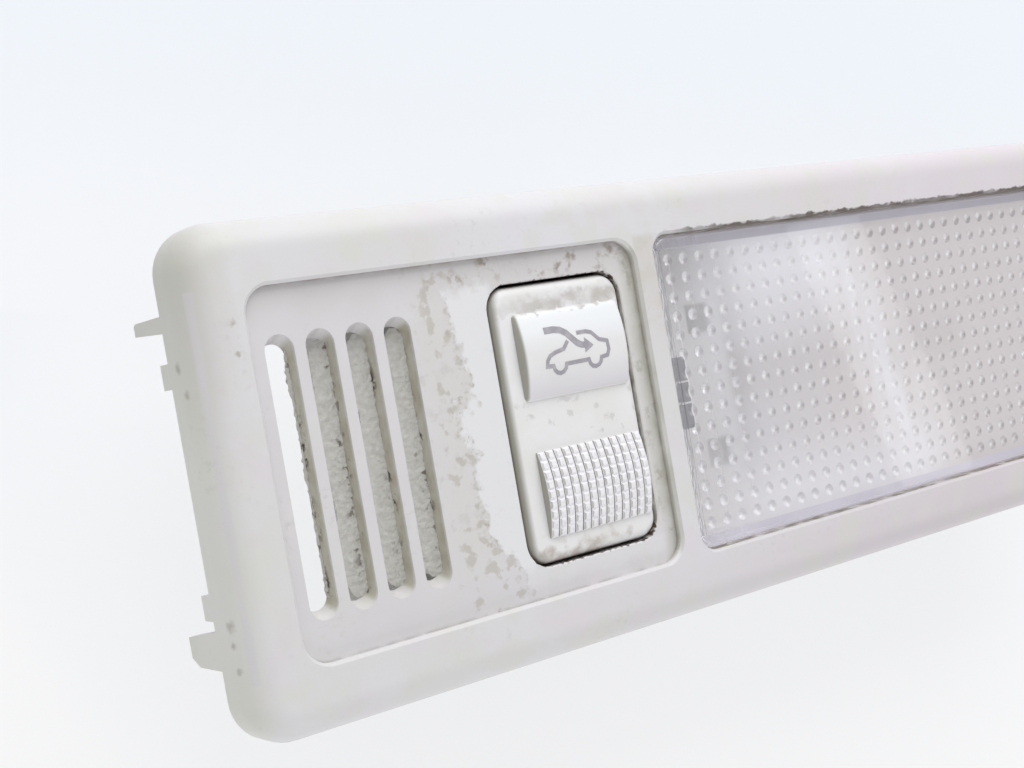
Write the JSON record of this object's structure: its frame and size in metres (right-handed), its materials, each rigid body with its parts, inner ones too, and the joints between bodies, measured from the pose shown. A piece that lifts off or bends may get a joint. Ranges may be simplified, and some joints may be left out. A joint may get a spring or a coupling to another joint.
{
  "type": "car dome light",
  "caption": "Interior lamp for a car roof: long moulded bezel with a dotted clear lens, air slots and a two-way rocker switch.",
  "frame": {"origin": "centre of the outline on the plane that the light lies on, at the mouths of its plug sockets", "axes": "+Z out of the front face, +X along the light towards its lamp end, +Y across it towards the smooth pad of the rocker"},
  "size_m": [0.18, 0.063, 0.0344],
  "materials": {
    "bezel_abs": "fine-grained off-white moulding, aged and soiled",
    "lens_clear": "clear moulding with dots inside",
    "rocker_abs": "off-white moulding, satin",
    "housing_grey": "light grey moulding",
    "carrier_grey": "light grey moulding",
    "base_black": "black glass-filled moulding",
    "terminal_brass": "stamped, tinned ends",
    "plunger_white": "slippery white moulding",
    "spring_steel": "drawn and bent spring steel",
    "contact_copper": "stamped copper alloy",
    "reflector_white": "white moulding",
    "bulb_glass": "clear blown glass",
    "cap_nickel": "nickel-plated caps",
    "filament_wire": "dark drawn wire",
    "contact_strip": "stamped and bent strip",
    "screw_zinc": "zinc plated"
  },
  "bodies": {
    "root": {"bezel": "bezel_abs", "lens": "lens_clear", "switch_housing": "housing_grey", "switch_carrier": "carrier_grey", "switch_base": "base_black", "switch_terminals": "terminal_brass", "spring_open": "spring_steel", "spring_close": "spring_steel", "lamp_housing": "reflector_white", "bulb_glass": "bulb_glass", "bulb_cap_left": "cap_nickel", "bulb_cap_right": "cap_nickel", "bulb_filament": "filament_wire", "lamp_contact_left": "contact_strip", "lamp_contact_right": "contact_strip", "carrier_screws": "screw_zinc", "lamp_housing_screws": "screw_zinc", "retaining_spring": "spring_steel"},
    "rocker": {"rocker": "rocker_abs"},
    "pusher_open": {"plunger_open": "plunger_white", "contact_open": "contact_copper"},
    "pusher_close": {"plunger_close": "plunger_white", "contact_close": "contact_copper"}
  },
  "joints": [
    {"name": "rocker_tilt", "type": "hinge", "parent": "root", "child": "rocker", "pos_m": [-0.036, 0, 0.0275], "axis": [1, 0, 0], "range_deg": [-6, 6], "stiffness_Nm_per_rad": 0.05},
    {"name": "open_push", "type": "slide", "parent": "root", "child": "pusher_open", "axis": [0, 0, 1], "range_m": [-0.00116, 0.00116], "deforming": ["spring_open"]},
    {"name": "close_push", "type": "slide", "parent": "root", "child": "pusher_close", "axis": [0, 0, 1], "range_m": [-0.00116, 0.00116], "deforming": ["spring_close"]}
  ],
  "couplings": [
    {"joint": "open_push", "follows": "rocker_tilt", "m_per_rad": 0.011},
    {"joint": "close_push", "follows": "rocker_tilt", "m_per_rad": -0.011}
  ]
}
